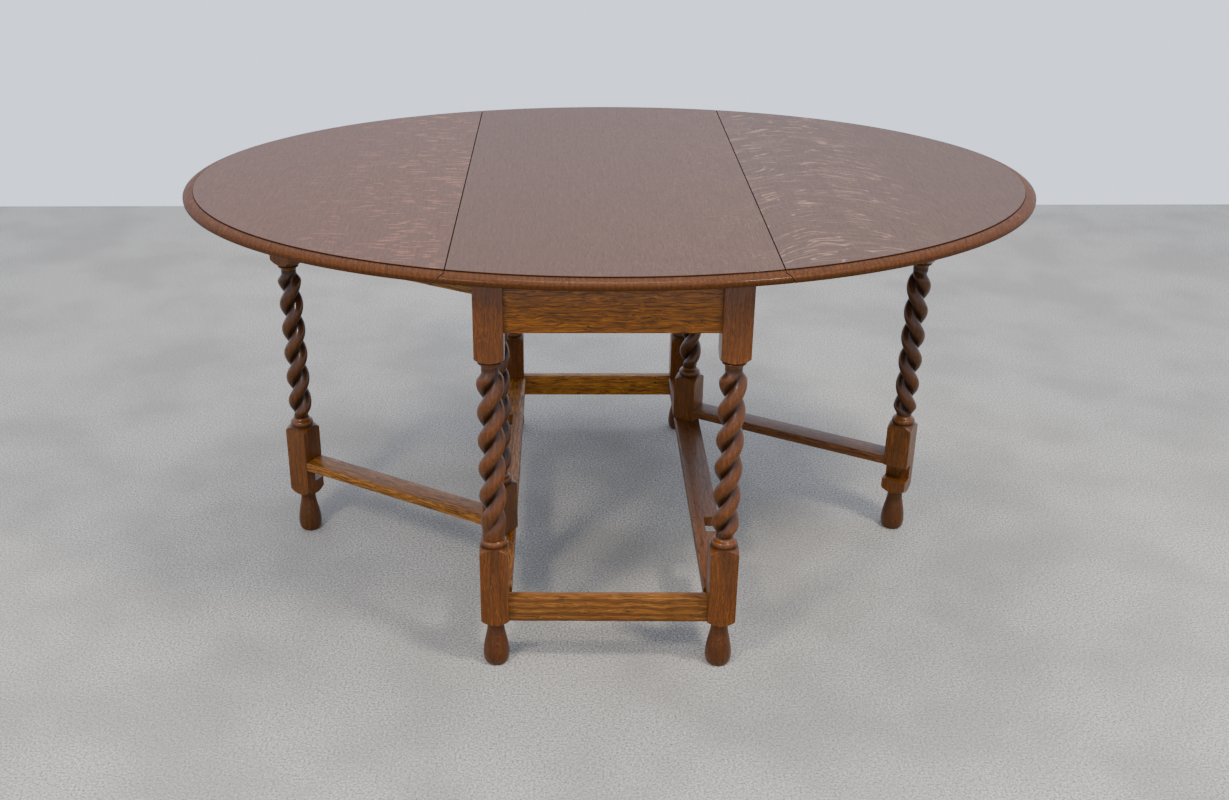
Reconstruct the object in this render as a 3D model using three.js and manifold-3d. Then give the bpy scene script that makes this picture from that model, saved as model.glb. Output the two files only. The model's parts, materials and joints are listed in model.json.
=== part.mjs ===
// Gateleg table in oak: an oval top of a fixed centre board and two hinged leaves, a frame of four
// barley-twist legs with aprons and stretchers, and two gates that swing out to carry the leaves.
// Millimetres, +Z up. The origin is on the floor under the middle of the top, the leaves spread along X,
// and the whole table looks the same after half a turn about Z.
import * as THREE from "three";
import { mergeVertices } from "three/addons/utils/BufferGeometryUtils.js";
import Module from "manifold-3d";

const wasm = await Module();
wasm.setup();

// Driving dimensions: the top
const topHeight = 750;
const boardThickness = 18;
const ovalLength = 1555; // over the moulded edge, along X
const ovalDepth = 1159; // over the moulded edge, along Y
const mouldingWidth = 19.5; // from the square step out to the nose
const mouldingDrop = 2.2; // height of the square step
const noseHeight = 7.3; // widest line of the edge, above the underside
const underRound = 4; // how far the edge is rounded back below the nose
const jointX = 255.5; // rule joint and hinge pin, from the middle
const fillet = 3.5; // square step at the top of the rule joint
const pinLift = 1; // hinge pin axis above the underside of the boards
const jointGap = 0.9; // between the round of the centre board and the cove of the leaf
const ovalSegments = 72;

// Driving dimensions: legs and frame
const legSection = 48;
const legX = 195.5;
const legY = 474;
const underTop = 0.5; // every top end stays this far below the boards
const neckTop = 577;
const neckRadius = 14.5;
const twistTop = 565;
const twistBottom = 251;
const beadHeight = 243;
const beadRadius = 22.3;
const blockTop = 240;
const blockBottom = 83;
const footRadius = 23;
const strandPitch = 103; // one full turn of the pair of strands
const strandReach = 22.3; // outermost point of a strand from the axis
const strandHalfWidth = 14.5;
const strandHalfDepth = 13;
const twistSection = 12; // points round a twist
const twistStep = 12.9; // height of one slice of a twist

const apronBottom = 630;
const endApronThickness = 20;
const endApronRecess = 9;
const sideApronThickness = 22;
const stretcherTop = 136;
const endStretcherHeight = 48;
const endStretcherThickness = 21;
const sideStretcherHeight = 20;
const sideStretcherWidth = 52;
const tenonLength = 20; // depth of every mortise
const tenonReach = 19; // length of every tenon
const tenonThickness = 9;
const apronTenon = [642, 717.5]; // low and high edge of each tenon
const endStretcherTenon = [95, 112];
const sideStretcherTenon = [121, 131];
const sideTenonOuter = 12; // the side stretcher's flat tenon, out from the leg axis
const sideTenonInner = 14;

// Driving dimensions: gates
const pivotX = 196;
const pivotY = 247;
const gateLength = 475; // pivot axis to gate leg axis
const gateOpening = THREE.MathUtils.degToRad(59.5); // from closed to resting on its stop
const railWidth = 46;
const lowerRailTop = 165;
const upperRailBottom = 606;
const railHeight = 18.5;
const pinRadius = 6;
const pinLength = 16;
const lapDepth = 25;
const lapClearance = 3;
const pinClearance = 0.5;
const pinEndRoom = 2;
const postFootGap = 0.4;
const postHeadGap = 0.6;
const railTenonInset = 4; // from the rail's top and bottom
const railTenonHalf = 14; // half the width of a gate rail's tenon

// Driving dimensions: hinges and stops
const hingeLength = 62;
const hingeY = 330;
const plateThickness = 1.6;
const knuckleRadius = 4;
const hingePinRadius = 1.6;
const boreRoom = 0.25; // clearance round the hinge pin
const knuckleGap = 0.4; // between neighbouring knuckles
const knuckleRoom = 0.7; // clearance round a knuckle
const knuckleRise = 1.2; // extra depth of the recess beside the knuckles
const fixedWing = 26;
const leafWing = 50;
const stopLength = 44;
const stopWidth = 18;
const stopHeight = 15;
const stopGap = 1; // between the open gate leg and its stop

const fit = 0.3; // between parts that meet face to face
const topUnderside = topHeight - boardThickness;
const pinZ = topUnderside + pinLift;
const half = legSection / 2;
const legTop = topUnderside - underTop;

// Materials: polished oak and brass-plated steel
function finish(color, roughness, metalness = 0) {
  return new THREE.MeshStandardMaterial({ color, roughness, metalness });
}
const topOak = finish(0x8b6b55, 0.35);
const frameOak = finish(0x7b4a22, 0.45);
const railOak = finish(0x9a6636, 0.5);
const hingeSteel = finish(0x8f7a4a, 0.4, 1);

// Solids: a closed geometry becomes a manifold and back
function solidOf(geometry) {
  const bare = geometry.index ? geometry.toNonIndexed() : geometry.clone();
  bare.deleteAttribute("normal");
  bare.deleteAttribute("uv");
  const merged = mergeVertices(bare, 1e-4);
  return new wasm.Manifold(
    new wasm.Mesh({
      numProp: 3,
      vertProperties: merged.attributes.position.array,
      triVerts: new Uint32Array(merged.index.array),
    }),
  );
}

function geometryOf(solid) {
  const mesh = solid.getMesh();
  const indexed = new THREE.BufferGeometry();
  indexed.setAttribute("position", new THREE.BufferAttribute(mesh.vertProperties, 3));
  indexed.setIndex(new THREE.BufferAttribute(mesh.triVerts, 1));
  const faceted = indexed.toNonIndexed();
  faceted.computeVertexNormals();
  return faceted;
}

// A block between two corners, in the order low x, high x, low y, high y, low z, high z.
function block(x0, x1, y0, y1, z0, z1) {
  const box = new THREE.BoxGeometry(x1 - x0, y1 - y0, z1 - z0);
  return solidOf(box.translate((x0 + x1) / 2, (y0 + y1) / 2, (z0 + z1) / 2));
}

// A turning about Z from [radius, height] points that start and end on the axis, bottom first.
function turning(points, segments = 12) {
  const profile = points.map(([radius, height]) => new THREE.Vector2(radius, height));
  return solidOf(new THREE.LatheGeometry(profile, segments).rotateX(Math.PI / 2));
}

function rod(radius, z0, z1, segments = 12) {
  return turning([[0, z0], [radius, z0], [radius, z1], [0, z1]], segments);
}

// A rod along Y about the hinge pin's axis.
function knuckle(radius, x, y0, y1) {
  const round = new THREE.CylinderGeometry(radius, radius, y1 - y0, 12);
  return solidOf(round.translate(x, (y0 + y1) / 2, pinZ));
}

// Legs: square blocks with turned shoulders, a neck, a double twist, a bead and a vase-shaped foot.

// The turned envelope that rounds the ends of a square block, from z0 up to z1.
function shoulders(z0, z1, roundBottom, roundTop) {
  const corner = half * Math.SQRT2 + 1;
  const points = [[0, z0]];
  if (roundBottom) points.push([neckRadius, z0], [half - 3, z0 + 3.5], [corner, z0 + 13]);
  else points.push([corner, z0]);
  if (roundTop) points.push([corner, z1 - 12], [half, z1 - 2], [half - 5, z1]);
  else points.push([corner, z1]);
  points.push([0, z1]);
  return turning(points, 16);
}

function squareBlock(z0, z1, roundBottom, roundTop) {
  return block(-half, half, -half, half, z0, z1).intersect(shoulders(z0, z1, roundBottom, roundTop));
}

// Two strands wound about the axis: an extruded two-lobed section whose slices are turned one after another.
// hand is 1 for a right-handed twist, and the lobes point along lobeAngle at the height lobeZ.
function twist(hand, lobeAngle, lobeZ) {
  const offset = strandReach - strandHalfDepth;
  const waist = strandHalfWidth * Math.sqrt(1 - (offset / strandHalfDepth) ** 2);
  const outline = [];
  for (let i = 0; i < twistSection; i++) {
    const turn = (2 * Math.PI * (i + 0.5)) / twistSection;
    const lobe = Math.cos(turn) ** 2;
    const radius = waist + (strandReach - waist) * lobe ** 0.8;
    outline.push(new THREE.Vector2(radius * Math.cos(turn), radius * Math.sin(turn)));
  }
  const length = twistTop - twistBottom;
  const strands = new THREE.ExtrudeGeometry(new THREE.Shape(outline), {
    depth: length,
    steps: Math.round(length / twistStep),
    bevelEnabled: false,
  });
  const place = strands.attributes.position;
  const runOut = 18; // the strands fade into the neck and the bead over this height
  const endRadius = neckRadius - 1.5;
  for (let i = 0; i < place.count; i++) {
    const height = place.getZ(i);
    const z = twistBottom + height;
    const fade = Math.min(1, height / runOut, (length - height) / runOut);
    const angle = Math.atan2(place.getY(i), place.getX(i));
    const reach = Math.hypot(place.getX(i), place.getY(i));
    const radius = endRadius + (reach - endRadius) * fade;
    const turned = angle + lobeAngle + (hand * 2 * Math.PI * (z - lobeZ)) / strandPitch;
    place.setXYZ(i, radius * Math.cos(turned), radius * Math.sin(turned), z);
  }
  return solidOf(strands);
}

function neckAndBead() {
  return turning([
    [0, blockTop - 4],
    [16, blockTop - 4],
    [beadRadius, beadHeight - 3],
    [beadRadius, beadHeight + 3],
    [16, twistBottom + 1],
    [0, twistBottom + 1],
  ]);
}

function topNeck() {
  return turning([
    [0, twistTop - 2],
    [neckRadius, twistTop - 2],
    [neckRadius, neckTop - 4],
    [neckRadius + 2, neckTop + 1],
    [0, neckTop + 1],
  ]);
}

function foot() {
  return turning([
    [0, 0],
    [16, 0],
    [22, 9],
    [footRadius, 22],
    [19, 46],
    [neckRadius, 72],
    [neckRadius, blockBottom + 1],
    [0, blockBottom + 1],
  ]);
}

function standingLeg(hand, lobeAngle, lobeZ) {
  return squareBlock(neckTop, legTop, true, false)
    .add(topNeck())
    .add(twist(hand, lobeAngle, lobeZ))
    .add(neckAndBead())
    .add(squareBlock(blockBottom, blockTop, true, true))
    .add(foot());
}

// A blind or through mortise that takes a tenon of the given box with the usual fit.
function mortise(x0, x1, y0, y1, z0, z1) {
  return block(x0 - fit, x1 + fit, y0 - fit, y1 + fit, z0 - fit, z1 + fit);
}

// Frame: aprons and stretchers with a tenon at each end, in the leg's own frame and in the table's.
const endApronY = half - endApronRecess - endApronThickness / 2; // apron centre, out from the leg axis

// Mortises of the front-left leg, whose inner faces look along +X and +Y.
function legMortises() {
  const t = tenonThickness / 2;
  const depth = tenonLength;
  return mortise(half - depth, half + 1, -endApronY - t, -endApronY + t, ...apronTenon)
    .add(mortise(half - depth, half + 1, -t, t, ...endStretcherTenon))
    .add(mortise(-t, t, half - depth, half + 1, ...apronTenon))
    .add(mortise(-sideTenonOuter, sideTenonInner, half - depth, half + 1, ...sideStretcherTenon));
}

// A leg at the corner signX, signY; the mortises mirror with the corner.
function cornerLeg(signX, signY, hand, lobeAngle, lobeZ) {
  const cuts = legMortises().scale([-signX, -signY, 1]);
  return standingLeg(hand, lobeAngle, lobeZ).subtract(cuts);
}

const endSpan = legX - half - fit; // half the length of a piece between two legs, along X
const sideSpan = legY - half - fit; // and along Y

function endApron(signY) {
  const y = signY * (legY + endApronY);
  const w = endApronThickness / 2;
  const t = tenonThickness / 2;
  const reach = endSpan + tenonReach;
  const board = block(-endSpan, endSpan, y - w, y + w, apronBottom, legTop);
  return board.add(block(-reach, reach, y - t, y + t, ...apronTenon));
}

function endStretcher(signY) {
  const y = signY * legY;
  const w = endStretcherThickness / 2;
  const t = tenonThickness / 2;
  const reach = endSpan + tenonReach;
  const bar = block(-endSpan, endSpan, y - w, y + w, stretcherTop - endStretcherHeight, stretcherTop);
  return bar.add(block(-reach, reach, y - t, y + t, ...endStretcherTenon));
}

// Where a closed gate leg crosses the side apron and the side stretcher, along Y on the left side.
const lapY = gateLength - pivotY;
const lapHalf = half + lapClearance;
const sideReach = sideSpan + tenonReach;

// A socket for one of the gate's pins, along Z.
function pinSocket(z0, z1) {
  return rod(pinRadius + pinClearance, z0, z1).translate([-pivotX, -pivotY, 0]);
}

// The left side apron: a half lap for the closed gate leg in its outer face and a socket for the gate's pin.
function sideApron() {
  const outer = -pivotX - sideApronThickness / 2;
  const t = tenonThickness / 2;
  return block(outer, outer + sideApronThickness, -sideSpan, sideSpan, apronBottom, legTop)
    .add(block(-legX - t, -legX + t, -sideReach, sideReach, ...apronTenon))
    .subtract(block(outer - 1, -pivotX, lapY - lapHalf, lapY + lapHalf, apronBottom - 1, legTop + 1))
    .subtract(pinSocket(apronBottom - 1, apronBottom + pinLength + pinEndRoom));
}

// The left side stretcher, laid flat: the same lap in its outer edge and the lower socket.
function sideStretcher() {
  const outer = -legX - half;
  const bottom = stretcherTop - sideStretcherHeight;
  const lapEdge = outer + lapDepth + lapClearance + 1.5;
  const tenons = [-legX - sideTenonOuter, -legX + sideTenonInner, -sideReach, sideReach];
  return block(outer, outer + sideStretcherWidth, -sideSpan, sideSpan, bottom, stretcherTop)
    .add(block(...tenons, ...sideStretcherTenon))
    .subtract(block(outer - 1, lapEdge, lapY - lapHalf, lapY + lapHalf, bottom - 1, stretcherTop + 1))
    .subtract(pinSocket(stretcherTop - pinLength - pinEndRoom, stretcherTop + 1));
}

// Gates, drawn along local +X from the pivot axis. Local -Y is the side that meets the frame when closed.
const gateRails = [
  [lowerRailTop - railHeight, lowerRailTop],
  [upperRailBottom, upperRailBottom + railHeight],
];

function railMortises(faceX, direction) {
  const cuts = gateRails.map(([z0, z1]) => {
    const deep = faceX - direction * tenonLength;
    const open = faceX + direction;
    const z = [z0 + railTenonInset, z1 - railTenonInset];
    const x = [Math.min(deep, open), Math.max(deep, open)];
    return mortise(...x, -railTenonHalf, railTenonHalf, ...z);
  });
  return cuts[0].add(cuts[1]);
}

function gateRail([z0, z1]) {
  const start = half + fit;
  const end = gateLength - half - fit;
  const x = [start - tenonReach, end + tenonReach];
  const z = [z0 + railTenonInset, z1 - railTenonInset];
  return block(start, end, -railWidth / 2, railWidth / 2, z0, z1).add(
    block(...x, -railTenonHalf, railTenonHalf, ...z),
  );
}

function pivotPost(hand, lobeAngle, lobeZ) {
  const foot = stretcherTop + postFootGap;
  const head = apronBottom - postHeadGap;
  return squareBlock(neckTop, head, true, false)
    .add(topNeck())
    .add(twist(hand, lobeAngle, lobeZ))
    .add(neckAndBead())
    .add(squareBlock(foot, blockTop, false, true))
    .add(rod(pinRadius, foot - pinLength, foot + 1))
    .add(rod(pinRadius, head - 1, head + pinLength))
    .subtract(railMortises(half, 1));
}

// The gate leg laps over the closed frame: its frame side is cut away at the stretcher and at the apron.
function gateLeg(hand, lobeAngle, lobeZ) {
  const lapBottom = stretcherTop - sideStretcherHeight;
  const lapTop = lowerRailTop - railHeight;
  const headLap = apronBottom - 4;
  const lap = (z0, z1) => block(-half - 1, half + 1, -half - 1, -half + lapDepth, z0, z1);
  return standingLeg(hand, lobeAngle, lobeZ)
    .subtract(railMortises(-half, -1))
    .subtract(lap(lapBottom, lapTop))
    .subtract(lap(headLap, legTop + 1));
}

// Top: one moulded oval, parted by two rule joints.

// The oval as a turning whose rings are moved from a circle to the ellipse and its parallel curves.
function mouldedOval() {
  const circle = 1000;
  const z = topUnderside;
  const quarters = 4; // slices of each rounded part of the edge
  const edge = [];
  for (let i = 0; i < quarters; i++) {
    const turn = (i / quarters) * (Math.PI / 2);
    edge.push([-underRound * (1 - Math.sin(turn)), z + noseHeight * (1 - Math.cos(turn))]);
  }
  const rise = boardThickness - mouldingDrop - noseHeight;
  for (let i = 0; i <= quarters; i++) {
    const turn = (i / quarters) * (Math.PI / 2);
    edge.push([-mouldingWidth * (1 - Math.cos(turn)), z + noseHeight + rise * Math.sin(turn)]);
  }
  edge.push([-mouldingWidth, z + boardThickness]);
  const profile = [new THREE.Vector2(0, z)];
  edge.forEach(([out, height]) => profile.push(new THREE.Vector2(circle + out, height)));
  profile.push(new THREE.Vector2(0, topHeight));
  const oval = new THREE.LatheGeometry(profile, ovalSegments).rotateX(Math.PI / 2);
  const place = oval.attributes.position;
  const a = ovalLength / 2;
  const b = ovalDepth / 2;
  for (let i = 0; i < place.count; i++) {
    const radius = Math.hypot(place.getX(i), place.getY(i));
    if (radius < 1) continue;
    const c = place.getX(i) / radius;
    const s = place.getY(i) / radius;
    const normal = new THREE.Vector2(c / a, s / b).normalize();
    const out = radius - circle;
    place.setXY(i, a * c + out * normal.x, b * s + out * normal.y);
  }
  return solidOf(oval);
}

// The outline of one board's edge in the X-Z plane, drawn out along Y.
function alongY(shape) {
  const long = ovalDepth + 20;
  const drawn = new THREE.ExtrudeGeometry(shape, { depth: long, bevelEnabled: false, curveSegments: 8 });
  return solidOf(drawn.rotateX(Math.PI / 2).translate(0, long / 2, 0));
}

const roundRadius = topHeight - fillet - pinZ;

// The centre board's outline: a fillet and a quarter round on each side.
function centreOutline() {
  const edge = jointX - jointGap / 2;
  const shape = new THREE.Shape();
  shape.moveTo(edge, topHeight + 1);
  shape.lineTo(-edge, topHeight + 1);
  shape.lineTo(-edge, topHeight - fillet);
  shape.absarc(-jointX, pinZ, roundRadius, Math.PI / 2, Math.PI, false);
  shape.lineTo(-jointX - roundRadius, topUnderside - 1);
  shape.lineTo(jointX + roundRadius, topUnderside - 1);
  shape.absarc(jointX, pinZ, roundRadius, 0, Math.PI / 2, false);
  shape.lineTo(edge, topHeight - fillet);
  shape.closePath();
  return shape;
}

// The left leaf's outline: a fillet and the cove that rolls over the round.
function leafOutline() {
  const edge = -jointX - jointGap / 2;
  const cove = roundRadius + jointGap;
  const start = Math.acos((jointGap / 2) / cove);
  const shape = new THREE.Shape();
  shape.moveTo(edge, topHeight + 1);
  shape.lineTo(-ovalLength / 2 - 10, topHeight + 1);
  shape.lineTo(-ovalLength / 2 - 10, topUnderside - 1);
  shape.lineTo(-jointX - cove, topUnderside - 1);
  shape.absarc(-jointX, pinZ, cove, Math.PI, Math.PI - start, true);
  shape.closePath();
  return shape;
}

// Recesses in the undersides for the left side's hinges, flush with the plates.
function hingeRecess(y, inLeaf) {
  const wide = hingeLength / 2 + fit;
  const y0 = y - wide;
  const y1 = y + wide;
  const low = topUnderside - 1;
  const plateRoom = topUnderside + plateThickness + fit;
  if (inLeaf) return block(-jointX - leafWing - fit, -jointX - roundRadius, y0, y1, low, plateRoom);
  return block(-jointX - 1, -jointX + fixedWing + fit, y0, y1, low, plateRoom)
    .add(block(-jointX - roundRadius - 1, -jointX, y0, y1, low, plateRoom + knuckleRise))
    .add(knuckle(knuckleRadius + knuckleRoom, -jointX, y0, y1));
}

const hingePlaces = [-hingeY, 0, hingeY];

function centreTop() {
  let board = mouldedOval().intersect(alongY(centreOutline()));
  for (const y of hingePlaces) {
    const recess = hingeRecess(y, false);
    board = board.subtract(recess).subtract(recess.scale([-1, 1, 1]));
  }
  return board;
}

function leftLeaf() {
  let board = mouldedOval().intersect(alongY(leafOutline()));
  for (const y of hingePlaces) board = board.subtract(hingeRecess(y, true));
  return board;
}

// Hinges of the left side: a short wing with two outer knuckles, a long wing with the middle one, and a pin.
const knuckleThird = hingeLength / 3;

function bored(body, y) {
  return body.subtract(knuckle(hingePinRadius + boreRoom, -jointX, y - hingeLength, y + hingeLength));
}

function fixedPlate(y) {
  const wing = block(-jointX, -jointX + fixedWing, y - hingeLength / 2, y + hingeLength / 2, ...plateZ());
  const middle = knuckleThird / 2 + knuckleGap;
  const outer = knuckle(knuckleRadius, -jointX, y - hingeLength / 2, y + hingeLength / 2);
  const gap = block(-jointX - 6, -jointX + 6, y - middle, y + middle, pinZ - 8, pinZ + 8);
  return bored(wing.add(outer).subtract(gap), y);
}

function leafPlate(y) {
  const wing = block(-jointX - leafWing, -jointX, y - hingeLength / 2, y + hingeLength / 2, ...plateZ());
  const middle = knuckleThird / 2;
  const clear = (y0, y1) => block(-jointX - 6, -jointX + 6, y0, y1, pinZ - 8, pinZ + 8);
  return bored(
    wing
      .subtract(clear(y - hingeLength / 2 - 1, y - middle))
      .subtract(clear(y + middle, y + hingeLength / 2 + 1))
      .add(knuckle(knuckleRadius, -jointX, y - middle, y + middle)),
    y,
  );
}

function plateZ() {
  return [topUnderside, topUnderside + plateThickness];
}

function hingePin(y) {
  return knuckle(hingePinRadius, -jointX, y - hingeLength / 2, y + hingeLength / 2);
}

// The left leaf's stop: the open gate leg rests against its long side.
function gateStop() {
  const stopY = half + stopGap + stopWidth / 2;
  return block(-stopLength / 2, stopLength / 2, -stopWidth / 2, stopWidth / 2, -stopHeight, -fit)
    .translate([gateLength, stopY, 0]);
}

// Assembly: every piece is a named mesh.
const table = new THREE.Group();

function add(name, solid, material, parent = table) {
  const mesh = new THREE.Mesh(geometryOf(solid), material);
  mesh.name = name;
  parent.add(mesh);
  return mesh;
}

add("centre_top", centreTop(), topOak);

// Twists: the hand and the angle of the lobes at one height, in the table's directions.
const degree = Math.PI / 180;
const legPlaces = [
  ["front_left_leg", -1, -1, 1, 3 * degree, 434],
  ["front_right_leg", 1, -1, 1, -8 * degree, 435],
  ["back_left_leg", -1, 1, 1, 0, 430],
  ["back_right_leg", 1, 1, 1, 0, 430],
];
for (const [name, signX, signY, hand, lobeAngle, lobeZ] of legPlaces) {
  const leg = add(name, cornerLeg(signX, signY, hand, lobeAngle, lobeZ), frameOak);
  leg.position.set(signX * legX, signY * legY, 0);
}
add("front_apron", endApron(-1), railOak);
add("back_apron", endApron(1), railOak);
add("front_stretcher", endStretcher(-1), railOak);
add("back_stretcher", endStretcher(1), railOak);

// The two sides are the same pieces half a turn apart; only the twists of the gates differ.
const sides = [
  { name: "left", turn: 0, legTwist: [1, 12 * degree, 445], postTwist: [1, 3 * degree, 440] },
  { name: "right", turn: Math.PI, legTwist: [-1, -15 * degree, 425], postTwist: [1, -7 * degree, 447] },
];
for (const side of sides) {
  const group = new THREE.Group();
  group.rotation.z = side.turn;
  table.add(group);
  add(side.name + "_apron", sideApron(), railOak, group);
  add(side.name + "_stretcher", sideStretcher(), railOak, group);
  add(side.name + "_leaf", leftLeaf(), topOak, group);
  hingePlaces.forEach((y, i) => {
    const label = side.name + "_hinge_" + (i + 1);
    add(label + "_fixed_plate", fixedPlate(y), hingeSteel, group);
    add(label + "_leaf_plate", leafPlate(y), hingeSteel, group);
    add(label + "_pin", hingePin(y), hingeSteel, group);
  });

  const gate = new THREE.Group();
  const gateAngle = Math.PI / 2 + gateOpening;
  gate.position.set(-pivotX, -pivotY, 0);
  gate.rotation.z = gateAngle;
  group.add(gate);
  const inGate = ([hand, lobeAngle, lobeZ]) => [hand, lobeAngle - gateAngle - side.turn, lobeZ];
  add(side.name + "_gate_post", pivotPost(...inGate(side.postTwist)), frameOak, gate);
  gateRails.forEach((rail, i) => {
    add(side.name + ["_gate_lower_rail", "_gate_upper_rail"][i], gateRail(rail), railOak, gate);
  });
  const leg = add(side.name + "_gate_leg", gateLeg(...inGate(side.legTwist)), frameOak, gate);
  leg.position.x = gateLength;
  const stop = add(side.name + "_gate_stop", gateStop(), railOak, gate);
  stop.position.z = topUnderside;
}

export default table;
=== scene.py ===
# Gateleg table in polished oak: fine boards, twisted legs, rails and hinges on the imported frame.
import json
import math

import bpy
from mathutils import Matrix, Vector


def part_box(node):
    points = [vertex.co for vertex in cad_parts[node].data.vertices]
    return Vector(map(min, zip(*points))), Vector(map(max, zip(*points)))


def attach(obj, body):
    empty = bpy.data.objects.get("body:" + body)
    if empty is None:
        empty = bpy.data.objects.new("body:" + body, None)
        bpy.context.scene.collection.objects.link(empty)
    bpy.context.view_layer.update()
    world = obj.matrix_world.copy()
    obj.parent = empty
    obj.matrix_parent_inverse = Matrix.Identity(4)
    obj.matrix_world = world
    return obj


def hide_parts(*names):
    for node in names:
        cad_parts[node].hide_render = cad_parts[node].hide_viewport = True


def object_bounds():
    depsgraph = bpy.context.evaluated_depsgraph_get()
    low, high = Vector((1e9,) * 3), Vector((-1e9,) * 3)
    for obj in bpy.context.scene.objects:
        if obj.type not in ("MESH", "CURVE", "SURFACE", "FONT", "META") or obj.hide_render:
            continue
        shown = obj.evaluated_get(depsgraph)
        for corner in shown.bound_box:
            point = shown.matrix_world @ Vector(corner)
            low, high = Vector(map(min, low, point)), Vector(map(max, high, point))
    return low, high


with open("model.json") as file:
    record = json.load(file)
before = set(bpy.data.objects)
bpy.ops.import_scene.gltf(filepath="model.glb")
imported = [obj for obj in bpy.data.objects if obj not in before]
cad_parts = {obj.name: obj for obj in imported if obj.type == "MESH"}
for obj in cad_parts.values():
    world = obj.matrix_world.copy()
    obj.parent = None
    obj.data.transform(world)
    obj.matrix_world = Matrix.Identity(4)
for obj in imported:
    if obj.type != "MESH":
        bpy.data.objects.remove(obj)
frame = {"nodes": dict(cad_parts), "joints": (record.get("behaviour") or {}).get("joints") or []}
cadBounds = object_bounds()
print("frame loaded", len(frame["nodes"]), "nodes")


# Small helpers for working the way one does by hand: one piece active, one selection at a time.
def clearAll():
    if bpy.context.mode != "OBJECT":
        bpy.ops.object.mode_set(mode="OBJECT")
    bpy.ops.object.select_all(action="DESELECT")


def activate(piece):
    clearAll()
    piece.select_set(True)
    bpy.context.view_layer.objects.active = piece


# Nothing selected, and the edit mode set for picking vertices, edges or faces.
def readyToPick(piece, kind):
    activate(piece)
    bpy.context.tool_settings.mesh_select_mode = [kind == k for k in ("vertices", "edges", "faces")]
    for parts in (piece.data.vertices, piece.data.edges, piece.data.polygons):
        parts.foreach_set("select", [False] * len(parts))


def selectFaces(piece, wanted):
    readyToPick(piece, "faces")
    for face in piece.data.polygons:
        face.select = wanted(face.center, face.normal)
    bpy.ops.object.mode_set(mode="EDIT")


def selectEdges(piece, wanted):
    readyToPick(piece, "edges")
    places = [vertex.co for vertex in piece.data.vertices]
    for edge in piece.data.edges:
        edge.select = wanted(*(places[i] for i in edge.vertices))
    bpy.ops.object.mode_set(mode="EDIT")


def selectVertices(piece, wanted):
    readyToPick(piece, "vertices")
    for vertex in piece.data.vertices:
        vertex.select = wanted(vertex.co)
    bpy.ops.object.mode_set(mode="EDIT")


def bevelEdges(piece, wanted, width, segments=3):
    selectEdges(piece, wanted)
    bpy.ops.mesh.bevel(offset=width, segments=segments)
    bpy.ops.object.mode_set(mode="OBJECT")


def applyPlace(piece):
    activate(piece)
    bpy.ops.object.transform_apply(location=True, rotation=True, scale=True)


def applyModifier(piece, kind, **settings):
    activate(piece)
    modifier = piece.modifiers.new(kind.lower(), kind)
    for name, value in settings.items():
        setattr(modifier, name, value)
    bpy.ops.object.modifier_apply(modifier=modifier.name)


def boolean(piece, tool, operation):
    applyModifier(piece, "BOOLEAN", operation=operation, object=tool, solver="MANIFOLD")
    bpy.data.objects.remove(tool)
    return piece


def makeOutward(piece):
    activate(piece)
    bpy.ops.object.mode_set(mode="EDIT")
    bpy.ops.mesh.select_all(action="SELECT")
    bpy.ops.mesh.remove_doubles(threshold=1e-6)
    bpy.ops.mesh.normals_make_consistent(inside=False)
    bpy.ops.object.mode_set(mode="OBJECT")
    return piece


def duplicate(piece, name):
    activate(piece)
    bpy.ops.object.duplicate()
    copied = bpy.context.object
    copied.name = name
    return copied


# A block between two corners, its arrises rounded by the given radius.
def block(low, high, arris=0.0, name="block", segments=2):
    clearAll()
    centre = [(a + b) / 2 for a, b in zip(low, high)]
    bpy.ops.mesh.primitive_cube_add(size=1, location=centre)
    piece = bpy.context.object
    piece.name = name
    bpy.ops.transform.resize(value=[b - a for a, b in zip(low, high)])
    applyPlace(piece)
    if arris:
        applyModifier(piece, "BEVEL", width=arris, segments=segments, limit_method="NONE")
    return piece


# A round bar, upright or lying along Y, and stretched to an oval if asked.
def roundBar(radius, length, centre, lying=False, vertices=32, stretch=None):
    clearAll()
    bpy.ops.mesh.primitive_cylinder_add(
        vertices=vertices, radius=radius, depth=length, location=centre,
        rotation=(math.pi / 2 if lying else 0, 0, 0),
    )
    piece = bpy.context.object
    if stretch:
        bpy.ops.transform.resize(value=(*stretch, 1))
    applyPlace(piece)
    return piece


# A turning about Z, from (radius, height) points given from the bottom up.
def turned(profile, segments=48):
    clearAll()
    radius, height = profile[0]
    bpy.ops.mesh.primitive_circle_add(
        vertices=segments, radius=radius, fill_type="NGON", location=(0, 0, height)
    )
    piece = bpy.context.object
    applyPlace(piece)
    bpy.ops.object.mode_set(mode="EDIT")
    bpy.ops.mesh.select_all(action="SELECT")
    for nextRadius, nextHeight in profile[1:]:
        bpy.ops.mesh.extrude_region_move(
            TRANSFORM_OT_translate={"value": (0, 0, nextHeight - height)}
        )
        scale = nextRadius / radius
        bpy.ops.transform.resize(value=(scale, scale, 1))
        radius, height = nextRadius, nextHeight
    bpy.ops.object.mode_set(mode="OBJECT")
    return makeOutward(piece)


# A smooth line through the given (radius, height) points.
def smoothLine(points, cuts=3):
    line = []
    for i in range(len(points) - 1):
        before = Vector(points[max(i - 1, 0)])
        here, there = Vector(points[i]), Vector(points[i + 1])
        after = Vector(points[min(i + 2, len(points) - 1)])
        for k in range(cuts):
            t = k / cuts
            line.append(
                0.5
                * (
                    2 * here
                    + (there - before) * t
                    + (2 * before - 5 * here + 4 * there - after) * t * t
                    + (3 * here - before - 3 * there + after) * t**3
                )
            )
    line.append(Vector(points[-1]))
    return [tuple(p) for p in line]


def smooth(piece, degrees=35):
    activate(piece)
    bpy.ops.object.shade_smooth_by_angle(angle=math.radians(degrees))
    return piece


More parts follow.
